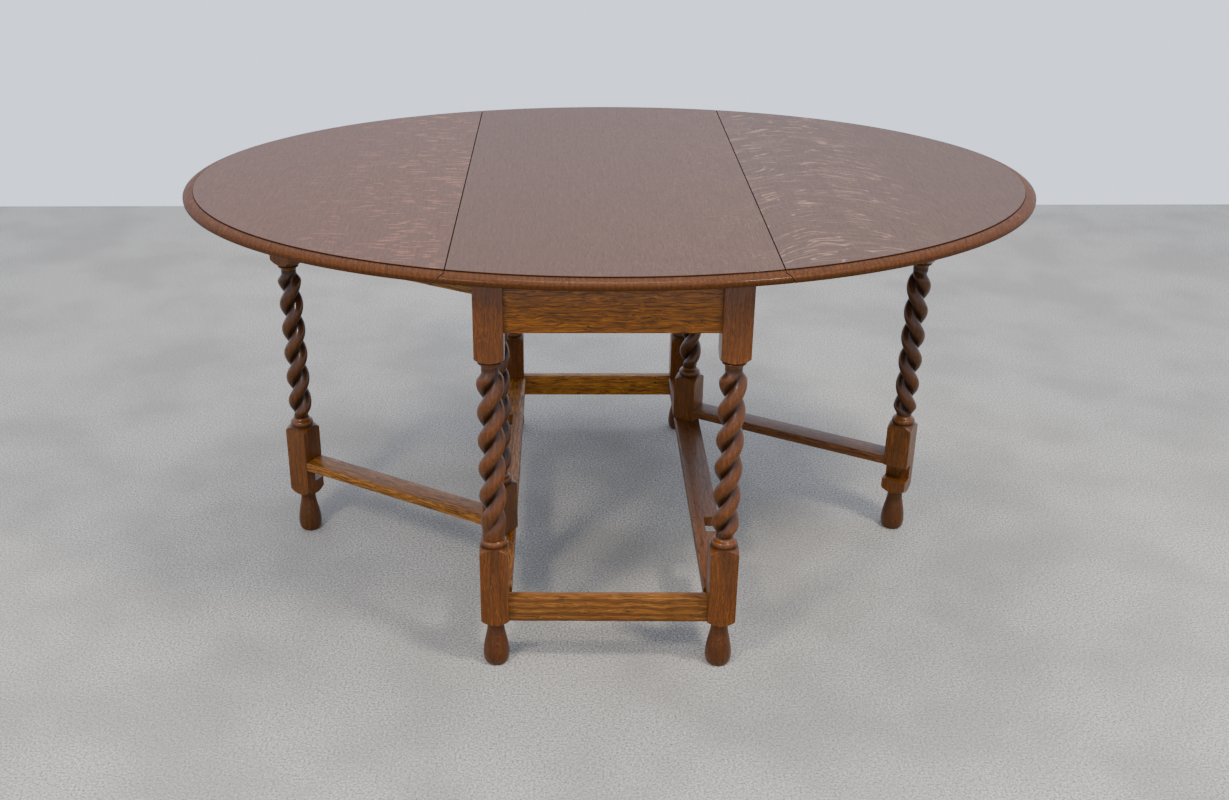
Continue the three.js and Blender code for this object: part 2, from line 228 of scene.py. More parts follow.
def giveMaterials(piece, *materials):
    piece.data.materials.clear()
    for material in materials:
        piece.data.materials.append(material)


def place(piece, body, nodes):
    applyPlace(piece)
    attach(piece, body)
    if nodes:
        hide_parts(*nodes)


# Colours and nodes
def linear(hexColour):
    channels = [int(hexColour[i : i + 2], 16) / 255 for i in (1, 3, 5)]
    return [c / 12.92 if c <= 0.04045 else ((c + 0.055) / 1.055) ** 2.4 for c in channels] + [1]


def addNode(tree, kind, inputs=None, **settings):
    node = tree.nodes.new(kind)
    for name, value in settings.items():
        setattr(node, name, value)
    for key, value in (inputs or {}).items():
        if isinstance(value, bpy.types.NodeSocket):
            tree.links.new(value, node.inputs[key])
        else:
            node.inputs[key].default_value = value
    return node


def newMaterial(name):
    material = bpy.data.materials.new(name)
    material.use_nodes = True
    return material, material.node_tree, material.node_tree.nodes["Principled BSDF"]


millimetre = 0.001
bandsPerUnit = 3.18  # a wave texture at scale 1 has this many bands to the unit
alongZ = (0, 0, 0)
alongY = (math.radians(-90), 0, 0)
alongX = (0, math.radians(90), 0)

# The open gate stands at this angle from X, and its rails' grain with it.
pivots = {
    side: Vector(next(j for j in frame["joints"] if j["child"] == side + "_gate")["pos_m"])
    for side in ("left", "right")
}


def middleOf(node):
    low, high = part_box(node)
    return (low + high) / 2


gateAngle = {}
for side in ("left", "right"):
    reach = middleOf(side + "_gate_leg") - pivots[side]
    gateAngle[side] = math.atan2(reach.y, reach.x)


# Oak under stain and wax: open pores and growth rings run with the grain, so the colour streaks one
# way. A mapping of the texture kind turns first and divides by its scale, so each scale is a real size.
# Real pores are about 0.3 mm wide, too fine to show, so they are drawn as lines 3 to 8 mm wide.
def oakColour(tree, look):
    coords = addNode(tree, "ShaderNodeTexCoord").outputs["Object"]
    turn = look["grain"]

    def across(width, length, vector):
        scale = (width * millimetre, width * millimetre, length * millimetre)
        return addNode(
            tree, "ShaderNodeMapping", {"Vector": vector, "Rotation": turn, "Scale": scale},
            vector_type="TEXTURE",
        ).outputs["Vector"]

    drift = addNode(tree, "ShaderNodeTexNoise", {"Vector": across(90, 300, coords), "Detail": 1.0})
    bent = addNode(
        tree, "ShaderNodeVectorMath",
        {0: drift.outputs["Color"], 1: [look["wander"] * millimetre] * 3, 2: coords},
        operation="MULTIPLY_ADD",
    ).outputs["Vector"]
    streak = addNode(
        tree, "ShaderNodeTexNoise",
        {"Vector": across(look["streakWidth"], look["streakLength"], bent),
         "Detail": 4.0, "Roughness": 0.65},
    )
    rings = addNode(
        tree, "ShaderNodeTexWave",
        {"Vector": across(look["ringWidth"] * bandsPerUnit, look["ringWidth"] * 60, bent), "Scale": 1.0,
         "Distortion": look["ringWarp"], "Detail": 2.0, "Detail Scale": 0.8},
        bands_direction="X",
    )
    pores = addNode(
        tree, "ShaderNodeTexNoise",
        {"Vector": across(look["poreWidth"], look["poreLength"], bent),
         "Detail": 2.0, "Roughness": 0.6},
    )
    patches = addNode(tree, "ShaderNodeTexNoise", {"Vector": across(70, 190, coords), "Detail": 2.0})

    light, dark, deep, patch = (linear(look[k]) for k in ("light", "dark", "pore", "patch"))
    streakAmount = addNode(
        tree, "ShaderNodeMapRange", {"Value": streak.outputs["Fac"], "From Min": 0.36, "From Max": 0.66}
    ).outputs["Result"]
    body = addNode(tree, "ShaderNodeMix", {0: streakAmount, 6: dark, 7: light}, data_type="RGBA")
    ringAmount = addNode(
        tree, "ShaderNodeMapRange",
        {"Value": rings.outputs["Fac"], "From Min": 0.1, "From Max": 0.9,
         "To Min": look["ringDepth"], "To Max": 0.0},
    ).outputs["Result"]
    ringed = addNode(
        tree, "ShaderNodeMix", {0: ringAmount, 6: body.outputs[2], 7: dark}, data_type="RGBA"
    )
    poreAmount = addNode(
        tree, "ShaderNodeMapRange",
        {"Value": pores.outputs["Fac"],
         "From Min": look["poreFrom"], "From Max": look["poreFrom"] + 0.1, "To Max": look["poreDepth"]},
    ).outputs["Result"]
    pored = addNode(
        tree, "ShaderNodeMix", {0: poreAmount, 6: ringed.outputs[2], 7: deep}, data_type="RGBA"
    )
    patchAmount = addNode(
        tree, "ShaderNodeMapRange",
        {"Value": patches.outputs["Fac"], "From Min": 0.35, "From Max": 0.65,
         "To Max": look["patchDepth"]},
    ).outputs["Result"]
    patched = addNode(
        tree, "ShaderNodeMix", {0: patchAmount, 6: pored.outputs[2], 7: patch}, data_type="RGBA"
    )
    return {
        "coords": coords, "across": across, "colour": patched.outputs[2],
        "pores": poreAmount, "streak": streak.outputs["Fac"],
    }


# Wax over stain: a satin body with a thin glossy film, a little duller along the pores.
def waxFinish(tree, shader, look, oak, colour):
    tree.links.new(colour, shader.inputs["Base Color"])
    rough = addNode(
        tree, "ShaderNodeMapRange",
        {"Value": oak["streak"], "From Min": 0.3, "From Max": 0.7,
         "To Min": look["roughness"] + 0.05, "To Max": look["roughness"] - 0.04},
    )
    tree.links.new(rough.outputs["Result"], shader.inputs["Roughness"])
    relief = addNode(
        tree, "ShaderNodeBump",
        {"Height": oak["pores"], "Strength": 0.35, "Distance": 0.25 * millimetre},
        invert=True,
    )
    grain = addNode(
        tree, "ShaderNodeBump",
        {"Height": oak["streak"], "Strength": look["relief"], "Distance": 0.4 * millimetre,
         "Normal": relief.outputs["Normal"]},
    )
    tree.links.new(grain.outputs["Normal"], shader.inputs["Normal"])
    shader.inputs["Specular IOR Level"].default_value = look["specular"]
    shader.inputs["Coat Weight"].default_value = look["coat"]
    shader.inputs["Coat Roughness"].default_value = look["coatRoughness"]


# The widths, lengths and wander are in millimetres; the depths say how much of the darker colour shows.
plainOak = {
    "grain": alongZ,
    "light": "#8a4f16", "dark": "#43240a",
    "patch": "#5a320d", "patchDepth": 0.5,
    "wander": 14, "streakWidth": 6, "streakLength": 180,
    "ringWidth": 9, "ringWarp": 5.0, "ringDepth": 0.4,
    "pore": "#120802", "poreWidth": 3, "poreLength": 60, "poreFrom": 0.57, "poreDepth": 0.75,
    "relief": 0.2, "roughness": 0.42, "specular": 0.3, "coat": 0.14, "coatRoughness": 0.12,
}


# Flat-sawn oak for aprons, stretchers and rails: golden, with dark broken lines along the grain.
def railOak(name, grain, **changes):
    look = {**plainOak, "grain": grain, "light": "#a4620f", "dark": "#462404",
            "patch": "#623608", "patchDepth": 0.35, "streakWidth": 9, "streakLength": 260,
            "pore": "#120701", "poreWidth": 8, "poreLength": 260, "poreFrom": 0.56, "poreDepth": 0.95,
            "specular": 0.2, **changes}
    material, tree, shader = newMaterial(name)
    oak = oakColour(tree, look)
    waxFinish(tree, shader, look, oak, oak["colour"])
    return material


# Turned oak: reddish and close grained; the attribute says how far to darken a point toward near black:
# wax with painted shade deep between the strands and at the ends of the blocks, painted shade over the
# whole twist, and an even darkening on the feet.
def turnedOak(name, **changes):
    look = {**plainOak, "light": "#7e4611", "dark": "#422207", "patch": "#4e2a0a",
            "ringDepth": 0.35, "poreDepth": 0.6,
            "roughness": 0.36, "specular": 0.18, "coat": 0.3, "coatRoughness": 0.09, **changes}
    material, tree, shader = newMaterial(name)
    oak = oakColour(tree, look)
    waxAndPaintedShade = addNode(tree, "ShaderNodeAttribute", attribute_name="waxAndPaintedShade").outputs["Fac"]
    shade = addNode(tree, "ShaderNodeMapRange", {"Value": waxAndPaintedShade, "To Max": 0.92}).outputs["Result"]
    darkened = addNode(
        tree, "ShaderNodeMix", {0: shade, 6: oak["colour"], 7: linear("#140903")}, data_type="RGBA"
    )
    waxFinish(tree, shader, look, oak, darkened.outputs[2])
    return material


# Quarter-sawn oak for the top: fine straight grain, and the rays cut lengthwise show as pale flecks
# across it. They are the highest spots of a stretched noise, or thin lines where it crosses its middle.
def topOak(name, flecks, **changes):
    look = {**plainOak, "grain": alongY, "light": "#52331e", "dark": "#372113", "patch": "#422818",
            "streakWidth": 6, "streakLength": 240, "ringWidth": 12, "ringWarp": 2.0, "ringDepth": 0.3,
            "pore": "#160a04", "poreWidth": 3, "poreLength": 50, "poreFrom": 0.58, "poreDepth": 0.5,
            "relief": 0.08, "roughness": 0.48, "specular": 0.26, "coat": 0.06, "coatRoughness": 0.25,
            **changes}
    material, tree, shader = newMaterial(name)
    oak = oakColour(tree, look)
    sweep = addNode(
        tree, "ShaderNodeTexNoise", {"Vector": oak["across"](320, 320, oak["coords"]), "Detail": 1.0}
    )
    x, y, z = addNode(tree, "ShaderNodeSeparateXYZ", {"Vector": oak["coords"]}).outputs
    off = addNode(tree, "ShaderNodeMath", {0: x, 1: flecks["crown"]}, operation="SUBTRACT").outputs[0]
    fall = addNode(tree, "ShaderNodeMath", {0: off, 1: off}, operation="MULTIPLY").outputs[0]
    drop = addNode(
        tree, "ShaderNodeMath", {0: fall, 1: flecks["arch"], 2: y}, operation="MULTIPLY_ADD"
    ).outputs[0]
    arched = addNode(tree, "ShaderNodeCombineXYZ", {0: x, 1: drop, 2: z}).outputs["Vector"]
    curved = addNode(
        tree, "ShaderNodeVectorMath",
        {0: sweep.outputs["Color"], 1: [flecks["bend"] * millimetre] * 3, 2: arched},
        operation="MULTIPLY_ADD",
    ).outputs["Vector"]
    level = addNode(
        tree, "ShaderNodeTexNoise",
        {"Vector": oak["across"](flecks["length"], flecks["width"], curved),
         "Detail": 0.8, "Roughness": 0.4},
    ).outputs["Fac"]
    if flecks["lines"]:
        level = addNode(tree, "ShaderNodeMath", {0: level, 1: 0.5}, operation="SUBTRACT").outputs[0]
        level = addNode(tree, "ShaderNodeMath", {0: level}, operation="ABSOLUTE").outputs[0]
    start, full = flecks["shows"]
    ray = addNode(
        tree, "ShaderNodeMapRange",
        {"Value": level, "From Min": start, "From Max": full, "To Max": flecks["strength"]},
        interpolation_type="SMOOTHSTEP",
    ).outputs["Result"]
    spread = addNode(
        tree, "ShaderNodeTexNoise", {"Vector": oak["across"](160, 260, oak["coords"]), "Detail": 2.0}
    )
    some = addNode(
        tree, "ShaderNodeMapRange",
        {"Value": spread.outputs["Fac"], "From Min": 0.4, "From Max": 0.52, "To Min": 0.2},
    ).outputs["Result"]
    near, far = flecks["fade"]
    inner = addNode(
        tree, "ShaderNodeMapRange",
        {"Value": x, "From Min": near, "From Max": far, "To Min": 1.0, "To Max": 0.12},
    ).outputs["Result"]
    where = addNode(tree, "ShaderNodeMath", {0: some, 1: inner}, operation="MULTIPLY").outputs[0]
    amount = addNode(tree, "ShaderNodeMath", {0: ray, 1: where}, operation="MULTIPLY").outputs[0]
    flecked = addNode(
        tree, "ShaderNodeMix",
        {0: amount, 6: oak["colour"], 7: linear(flecks["colour"])}, data_type="RGBA",
    )
    waxFinish(tree, shader, look, oak, flecked.outputs[2])
    return material


# Old dust and wax packed in the square step of the moulding, with painted shade in the step, its quirk
# and the joint's gap: nearly black and dull.
def packedWaxAndShade():
    material, tree, shader = newMaterial("dark wax in the moulding's step")
    coords = addNode(tree, "ShaderNodeTexCoord").outputs["Object"]
    grit = addNode(
        tree, "ShaderNodeTexNoise", {"Vector": coords, "Scale": 1 / (6 * millimetre), "Detail": 3.0}
    )
    colour = addNode(
        tree, "ShaderNodeMix",
        {0: grit.outputs["Fac"], 6: linear("#0c0603"), 7: linear("#20100a")}, data_type="RGBA",
    )
    tree.links.new(colour.outputs[2], shader.inputs["Base Color"])
    shader.inputs["Roughness"].default_value = 0.85
    shader.inputs["Specular IOR Level"].default_value = 0.2
    return material


# Old lacquered brass on the hinges, dulled and spotted with age.
def agedBrass():
    material, tree, shader = newMaterial("aged rolled brass")
    coords = addNode(tree, "ShaderNodeTexCoord").outputs["Object"]
    spots = addNode(
        tree, "ShaderNodeTexNoise", {"Vector": coords, "Scale": 1 / (5 * millimetre), "Detail": 5.0}
    )
    colour = addNode(
        tree, "ShaderNodeMix",
        {0: spots.outputs["Fac"], 6: linear("#5a4526"), 7: linear("#b08d4c")}, data_type="RGBA",
    )
    rough = addNode(
        tree, "ShaderNodeMapRange",
        {"Value": spots.outputs["Fac"], "From Min": 0.3, "From Max": 0.7,
         "To Min": 0.55, "To Max": 0.32},
    )
    tree.links.new(colour.outputs[2], shader.inputs["Base Color"])
    tree.links.new(rough.outputs["Result"], shader.inputs["Roughness"])
    shader.inputs["Metallic"].default_value = 1.0
    return material


# Turned steel screws gone brown with age.
def brownedSteel():
    material, tree, shader = newMaterial("browned turned steel")
    coords = addNode(tree, "ShaderNodeTexCoord").outputs["Object"]
    rust = addNode(
        tree, "ShaderNodeTexNoise", {"Vector": coords, "Scale": 1 / (2 * millimetre), "Detail": 4.0}
    )
    colour = addNode(
        tree, "ShaderNodeMix",
        {0: rust.outputs["Fac"], 6: linear("#4a4038"), 7: linear("#8a8276")}, data_type="RGBA",
    )
    tree.links.new(colour.outputs[2], shader.inputs["Base Color"])
    shader.inputs["Metallic"].default_value = 1.0
    shader.inputs["Roughness"].default_value = 0.42
    return material


# Grey-white wool felt of the floor covering: short pile brushed here and there, no shine. The tufts are
# about 1 mm across, too fine to show, so they are drawn at 4 mm.
def paleFloor():
    material, tree, shader = newMaterial("pale wool floor")
    coords = addNode(tree, "ShaderNodeTexCoord").outputs["Object"]
    pile = addNode(
        tree, "ShaderNodeTexNoise",
        {"Vector": coords, "Scale": 1 / (4 * millimetre), "Detail": 6.0, "Roughness": 0.75},
    )
    tufts = addNode(
        tree, "ShaderNodeMapRange", {"Value": pile.outputs["Fac"], "From Min": 0.35, "From Max": 0.65}
    )
    colour = addNode(
        tree, "ShaderNodeMix",
        {0: tufts.outputs["Result"], 6: linear("#53514d"), 7: linear("#c2c0ba")}, data_type="RGBA",
    )
    brushed = addNode(
        tree, "ShaderNodeTexNoise", {"Vector": coords, "Scale": 1 / (260 * millimetre), "Detail": 4.0}
    )
    amount = addNode(
        tree, "ShaderNodeMapRange",
        {"Value": brushed.outputs["Fac"], "From Min": 0.42, "From Max": 0.62, "To Max": 0.4},
    )
    shaded = addNode(
        tree, "ShaderNodeMix",
        {0: amount.outputs["Result"], 6: colour.outputs[2], 7: linear("#74726d")}, data_type="RGBA",
    )
    tree.links.new(shaded.outputs[2], shader.inputs["Base Color"])
    shader.inputs["Roughness"].default_value = 0.95
    return material


stepWaxAndShade = packedWaxAndShade()
brass = agedBrass()
screwSteel = brownedSteel()
# Flecks: length, width and bend in millimetres, how strongly they arch about the crown, the noise
# levels where they start and are full, and the places along X between which they fade.
centreOak = topOak(
    "quarter-sawn oak, centre board",
    {"length": 70, "width": 26, "bend": 170, "arch": 0, "crown": 0, "lines": True,
     "shows": (0.02, 0.0), "strength": 0.5, "fade": (0.22, -0.1), "colour": "#8a6450"},
)
leftOak = topOak(
    "quarter-sawn oak, left leaf",
    {"length": 130, "width": 26, "bend": 30, "arch": 0, "crown": 0, "lines": False,
     "shows": (0.61, 0.65), "strength": 0.44, "fade": (-0.34, -0.56), "colour": "#8c5c44"},
    light="#58341f", dark="#3e2414",
)
rightOak = topOak(
    "quarter-sawn oak, right leaf",
    {"length": 560, "width": 62, "bend": 36, "arch": 4.0, "crown": 0.37, "lines": True,
     "shows": (0.028, 0.0), "strength": 0.6, "fade": (0.46, 0.54), "colour": "#94705a"},
    light="#4f321e", dark="#362214",
)
mouldingOak = railOak(
    "moulded oak edge", alongY, light="#5e350d", dark="#301805", patch="#422208",
    streakWidth=7, streakLength=160, poreDepth=0.6,
    roughness=0.5, specular=0.1, coat=0.05, coatRoughness=0.1,
)
# The underside is darkened well below the oak's own colour, as painted shade.
shadedUndersideOak = railOak(
    "planed oak underside, darkened as painted shade", alongY, light="#402812", dark="#26160a", patch="#332010",
    roughness=0.7, coat=0.0,
)
legOak = turnedOak("turned and carved oak")
postOak = turnedOak("turned and carved oak, gates", light="#7e4810", dark="#402208", patch="#4c2a0a")
endOak = {
    "front_apron": railOak("flat-sawn oak, aprons", alongX),
    "front_stretcher": railOak(
        "flat-sawn oak, front stretcher", alongX, light="#9c662a", dark="#503010",
        ringWidth=14, ringDepth=0.8, poreDepth=0.6,
    ),
    # the back stretcher stands in the table's shade and is painted lighter, as painted light
    "back_stretcher": railOak("flat-sawn oak, back stretcher, lightened as painted light", alongX, light="#d08a2a", dark="#754310"),
}
endOak["back_apron"] = endOak["front_apron"]
# Lit and shaded copies of one oak: the left side's is painted lighter as painted light, the right
# side's darker as painted shade.
oakAlongY = {
    "left": railOak("flat-sawn oak along Y, left, painted lighter", alongY, light="#b47424"),
    "right": railOak("flat-sawn oak along Y, right, painted darker", alongY, light="#7c4c1e", dark="#43260e"),
}
gateGrain = {side: (0, math.radians(90), gateAngle[side]) for side in ("left", "right")}
# Lit and shaded copies again: the left gate's rails painted lighter, the right gate's painted darker as
# painted shade.
gateOak = {
    "left": railOak("flat-sawn oak, left gate", gateGrain["left"], light="#b07830"),
    "right": railOak("flat-sawn oak, right gate", gateGrain["right"], light="#7c4e28", dark="#452812"),
}
print("materials made", len(bpy.data.materials))


# The top: one moulded oval, parted by two rule joints. Sizes from here on are in metres.
top = {
    "points": 288,  # round the oval
    "startBand": 0.0002,  # thin band that the edge is drawn out from
    "mouldingWidth": 0.0195,
    "quirk": 0.0008,  # flat strip at the foot of the step
    "noseDrop": 0.0107,  # widest line, below the surface
    "step": 0.0022,  # square step between the moulding and the surface
    "underWidth": 0.0042,
    "arris": 0.0006,
    "jointFillet": 0.0035,
    "jointGap": 0.0012,
    "jointReach": 0.016,  # how far the joint's faces lie from its middle
    "hingeLift": 0.001,
}
low, high = cadBounds
topHeight = high[2]
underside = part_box("centre_top")[0].z
jointX = -Vector(next(j for j in frame["joints"] if j["child"] == "left_leaf")["pos_m"]).x
pinZ = underside + top["hingeLift"]


# A quarter round as steps in and up.
def quarter(width, rise, steps):
    stations = []
    for i in range(steps):
        a, b = (math.pi / 2 * k / steps for k in (i, i + 1))
        stations.append((width * (math.cos(a) - math.cos(b)), rise * (math.sin(b) - math.sin(a))))
    return stations


def mouldedOval():
    noseZ = topHeight - top["noseDrop"]
    band = top["startBand"]
    oval = roundBar(1, band, (0, 0, noseZ), vertices=top["points"], stretch=(high[0], high[1]))
    over = quarter(top["mouldingWidth"] - top["quirk"], top["noseDrop"] - top["step"] - band / 2, 9)
    over += [(top["quirk"], 0.0), (0.0, top["step"] - top["arris"]), (top["arris"], top["arris"])]
    under = quarter(top["underWidth"], noseZ - underside - band / 2, 6)
    for up, stations in ((1, over), (-1, under)):
        selectFaces(oval, lambda c, n: n.z * up > 0.9)
        for inward, outward in stations:
            bpy.ops.mesh.inset(thickness=inward, depth=outward)
        bpy.ops.object.mode_set(mode="OBJECT")
    return makeOutward(oval)


# The rule joint's round or cove as a long cutter: a bar with rounded upper edges and a neck that flares
# at the surface.
def ruleCutter(halfWidth, radius, neck, flare):
    long = high[1] + 0.02
    bar = block((-halfWidth, -long, underside - 0.001), (halfWidth, long, pinZ + radius))
    bevelEdges(bar, lambda a, b: min(a.z, b.z) > pinZ and abs(a.x - b.x) < 1e-4, radius, 10)
    selectFaces(bar, lambda c, n: n.z > 0.99)
    if neck:
        bpy.ops.mesh.inset(thickness=neck)
    shoulder = 1.2 * top["arris"]  # a little past the surface, so that it cuts clean
    neckHeight = topHeight - top["arris"] - pinZ - radius
    for rise in (neckHeight, shoulder):
        bpy.ops.mesh.extrude_region_move(TRANSFORM_OT_translate={"value": (0, 0, rise)})
    reach = halfWidth - radius
    bpy.ops.transform.resize(value=((reach + flare * shoulder) / reach, 1, 1))
    bpy.ops.object.mode_set(mode="OBJECT")
    return makeOutward(bar)


hinge = {
    "length": 0.062,
    "wing": {"fixed": 0.026, "leaf": 0.050},  # from the pin to the end of the plate
    "thickness": 0.0016,
    "knuckle": 0.004,
    "knuckleGroove": 0.0047,
    "pin": 0.0016,
    "bore": 0.0018,
    "room": 0.0003,
    "round": 0.0145,  # width of the rule joint's round over the leaf plate
    "rise": 0.0008,  # how far that plate lifts there with the leaf
    "corner": 0.003,
    "ease": 0.0003,
    "screwHead": 0.0038,
    "screwShank": 0.0018,
    "screwHole": 0.0019,
    "slotWidth": 0.0008,
    "slotDepth": 0.0009,
    "screws": {"fixed": [(0.017, -0.021), (0.017, 0.0), (0.017, 0.021)],
               "leaf": [(0.018, -0.022), (0.040, 0.0), (0.018, 0.022)]},
}
hingeRows = [middleOf("left_hinge_%d_pin" % (i + 1)).y for i in range(3)]


# Recesses for the hinge plates, deeper under the round, where the leaf's plate rises with the leaf.
def cutHinges(board, side, inLeaf):
    for y in hingeRows:
        wide = hinge["length"] / 2 + hinge["room"]
        ceiling = underside + hinge["thickness"] + hinge["room"]
        if inLeaf:
            spans = [(hinge["round"] - 0.0005, hinge["wing"]["leaf"] + hinge["room"], ceiling)]
        else:
            spans = [(-hinge["wing"]["fixed"] - hinge["room"], 0.001, ceiling),
                     (0.0, hinge["round"], ceiling + hinge["rise"])]
        for start, end, upper in spans:
            ends = sorted([side * (jointX + start), side * (jointX + end)])
            recess = block((ends[0], y - wide, underside - 0.002), (ends[1], y + wide, upper))
            boolean(board, recess, "DIFFERENCE")
        if not inLeaf:
            groove = roundBar(hinge["knuckleGroove"], 2 * wide, (side * jointX, y, pinZ), lying=True)
            boolean(board, groove, "DIFFERENCE")


# Each board has four finishes: surface, moulding, dark wax and painted shade in the step and the joint,
# and an underside darkened as painted shade.
def finishBoard(board, wood):
    giveMaterials(board, wood, mouldingOak, stepWaxAndShade, shadedUndersideOak)
    surface, moulding, waxAndShadeSlot, under = range(4)
    stepFoot = topHeight - top["step"]
    for face in board.data.polygons:
        c, n = face.center, face.normal
        inJoint = abs(abs(c.x) - jointX) < top["jointReach"] and abs(n.y) < 0.05 and abs(n.x) > 0.2
        onStep = c.z > stepFoot - 1e-4 and abs(n.z) < 0.5
        onQuirk = abs(c.z - stepFoot) < 5e-5 and n.z > 0.999
        if c.z > topHeight - 2e-4 and n.z > 0.9:
            face.material_index = surface
        elif c.z < underside + 0.003 and n.z < -0.9:
            face.material_index = under
        # the step, its quirk and the joint's faces get the dark wax, which also stands for their shade
        elif inJoint or onStep or onQuirk:
            face.material_index = waxAndShadeSlot
        else:
            face.material_index = moulding
    return smooth(board, 30)


def makeTop():
    radius = topHeight - top["jointFillet"] - pinZ
    oval = mouldedOval()
    centre = duplicate(oval, "centreBoard")
    half = top["jointGap"] / 2
    boolean(centre, ruleCutter(jointX + radius, radius, half, -1), "INTERSECT")
    cove = radius + half
    boolean(oval, ruleCutter(jointX + half + cove, cove, 0, 1), "DIFFERENCE")
    activate(oval)
    bpy.ops.object.mode_set(mode="EDIT")
    bpy.ops.mesh.select_all(action="SELECT")
    bpy.ops.mesh.separate(type="LOOSE")
    bpy.ops.object.mode_set(mode="OBJECT")
    leaves = {}
    for piece in list(bpy.context.selected_objects):
        middle = sum(v.co.x for v in piece.data.vertices)
        leaves["left" if middle < 0 else "right"] = piece
    for side, sign in (("left", -1), ("right", 1)):
        leaf = leaves[side]
        leaf.name = side + "Leaf"
        cutHinges(centre, sign, False)
        cutHinges(leaf, sign, True)
        finishBoard(leaf, leftOak if side == "left" else rightOak)
        place(leaf, side + "_leaf", [side + "_leaf"])
    finishBoard(centre, centreOak)
    place(centre, "frame", ["centre_top"])
    print("top made", len(centre.data.polygons), "faces in the centre board")


makeTop()


# Legs and posts: square blocks, a neck, a double twist, a bead and a foot
leg = {
    "arris": 0.0011,
    "topBlock": 0.577,
    "lowBlock": (0.083, 0.240),
    "twistTop": 0.565,
    "twistBottom": 0.251,
    "twistEnd": 0.0138,  # radius where the twist runs into the neck
    "pitch": 0.103,  # one full turn of the pair of strands
    "strandOffset": 0.0097,
    "strandDepth": 0.0131,
    "strandWidth": 0.0145,
    "strandSides": 40,
    "meanRadius": 0.0176,  # of the pair of strands
    "crease": 0.0022,  # rounding where the strands meet
    "runOut": 0.020,
    "rings": 100,
    "hollowRadius": 0.0105,  # radius where the wax and painted shade between the strands are darkest
    # the feet are darkened all over by this much
    "footDarkening": 0.4,
    # turned lines as radius and height: from the end of the block for the shoulders, ring and neck
    "lowShoulder": [(0.0144, 0), (0.018, 0.0006), (0.021, 0.002), (0.024, 0.004), (0.028, 0.007),
                    (0.0315, 0.0105), (0.036, 0.016)],
    "highShoulder": [(0.036, -0.0145), (0.033, -0.0105), (0.030, -0.007), (0.027, -0.0043),
                     (0.024, -0.002), (0.020, -0.0004), (0.016, 0)],
    "ring": [(0.0155, -0.005), (0.0175, -0.0036), (0.0196, -0.0028), (0.0204, -0.0012),
             (0.0198, 0.0002), (0.0185, 0.0010)],
    "neck": [(0.0144, -0.016), (0.0144, -0.011), (0.0149, -0.0075), (0.0158, -0.005),
             (0.0172, -0.0034), (0.0172, 0.001)],
    # and from the floor for the bead and foot
    "bead": [(0.0165, 0.236), (0.0195, 0.2365), (0.0216, 0.2385), (0.0225, 0.2425), (0.0219, 0.2468),
             (0.0198, 0.2496), (0.0172, 0.2512), (0.0152, 0.2535), (0.0142, 0.2565), (0.0138, 0.262)],
    "foot": [(0.0150, 0.0), (0.0182, 0.0008), (0.0212, 0.0048), (0.0227, 0.0115), (0.0231, 0.0195),
             (0.0222, 0.0310), (0.0203, 0.0430), (0.0178, 0.0550), (0.0157, 0.0660), (0.0149, 0.0740),
             (0.0150, 0.0800), (0.0156, 0.0850)],
}
legHalf = (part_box("front_left_leg")[1].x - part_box("front_left_leg")[0].x) / 2
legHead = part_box("front_left_leg")[1].z


def squareBlock(bottom, topEnd, roundBottom, roundTop):
    wood = block((-legHalf, -legHalf, bottom), (legHalf, legHalf, topEnd))
    bevelEdges(wood, lambda a, b: abs(a.z - b.z) > 0.01, leg["arris"])
    wide = leg["lowShoulder"][-1][0]
    line = []
    if roundBottom:
        line += [(r, bottom + z) for r, z in smoothLine(leg["lowShoulder"], 2)]
    else:
        line += [(wide, bottom - 0.001), (wide, bottom + 0.01)]
    if roundTop:
        line += [(r, topEnd + z) for r, z in smoothLine(leg["highShoulder"], 2)]
    else:
        line += [(wide, topEnd + 0.001)]
    return boolean(wood, turned(line, 72), "INTERSECT")


# Two strands side by side, joined, softened where they meet, sliced into rings, faded at the ends and
# twisted. A lobe faces lobeAngle at height lobeZ; each fade is its length and the radius it ends at.
def twistColumn(hand, lobeAngle, lobeZ, fadeBottom):
    length = leg["twistTop"] - leg["twistBottom"]
    middle = (leg["twistTop"] + leg["twistBottom"]) / 2 - lobeZ
    strands = []
    for side in (-1, 1):
        centre = (side * leg["strandOffset"], 0, middle)
        oval = (leg["strandDepth"], leg["strandWidth"])
        strands.append(roundBar(1, length, centre, vertices=leg["strandSides"], stretch=oval))
    column = boolean(*strands, "UNION")

    def upright(a, b):
        return abs(a.z - b.z) > length / 2

    bevelEdges(column, lambda a, b: upright(a, b) and max(abs(a.x), abs(b.x)) < 0.0004, leg["crease"])
    selectEdges(column, upright)
    bpy.ops.mesh.subdivide(number_cuts=leg["rings"] - 1)
    bpy.ops.object.mode_set(mode="OBJECT")
    bottom = middle - length / 2
    step = length / leg["rings"]
    for ring in range(leg["rings"] + 1):
        height = ring * step
        ends = ((length - height, leg["runOut"], leg["twistEnd"]), (height, *fadeBottom))
        for distance, run, endRadius in ends:
            if distance < run:
                share = distance / run
                share = share * share * (3 - 2 * share)
                z = bottom + height
                selectVertices(column, lambda c: abs(c.z - z) < step / 3)
                bpy.ops.transform.tosphere(value=1 - share)
                grow = (endRadius / leg["meanRadius"]) ** (1 - share)
                bpy.ops.transform.resize(value=(grow, grow, 1))
                bpy.ops.object.mode_set(mode="OBJECT")
    applyModifier(
        column, "SIMPLE_DEFORM", deform_method="TWIST", deform_axis="Z",
        angle=hand * 2 * math.pi * length / leg["pitch"],
    )
    activate(column)
    column.rotation_euler.z = lobeAngle
    column.location.z = lobeZ
    applyPlace(column)
    return makeOutward(column)


def turnedBetween(points):
    return turned(smoothLine(points, 3), 56)


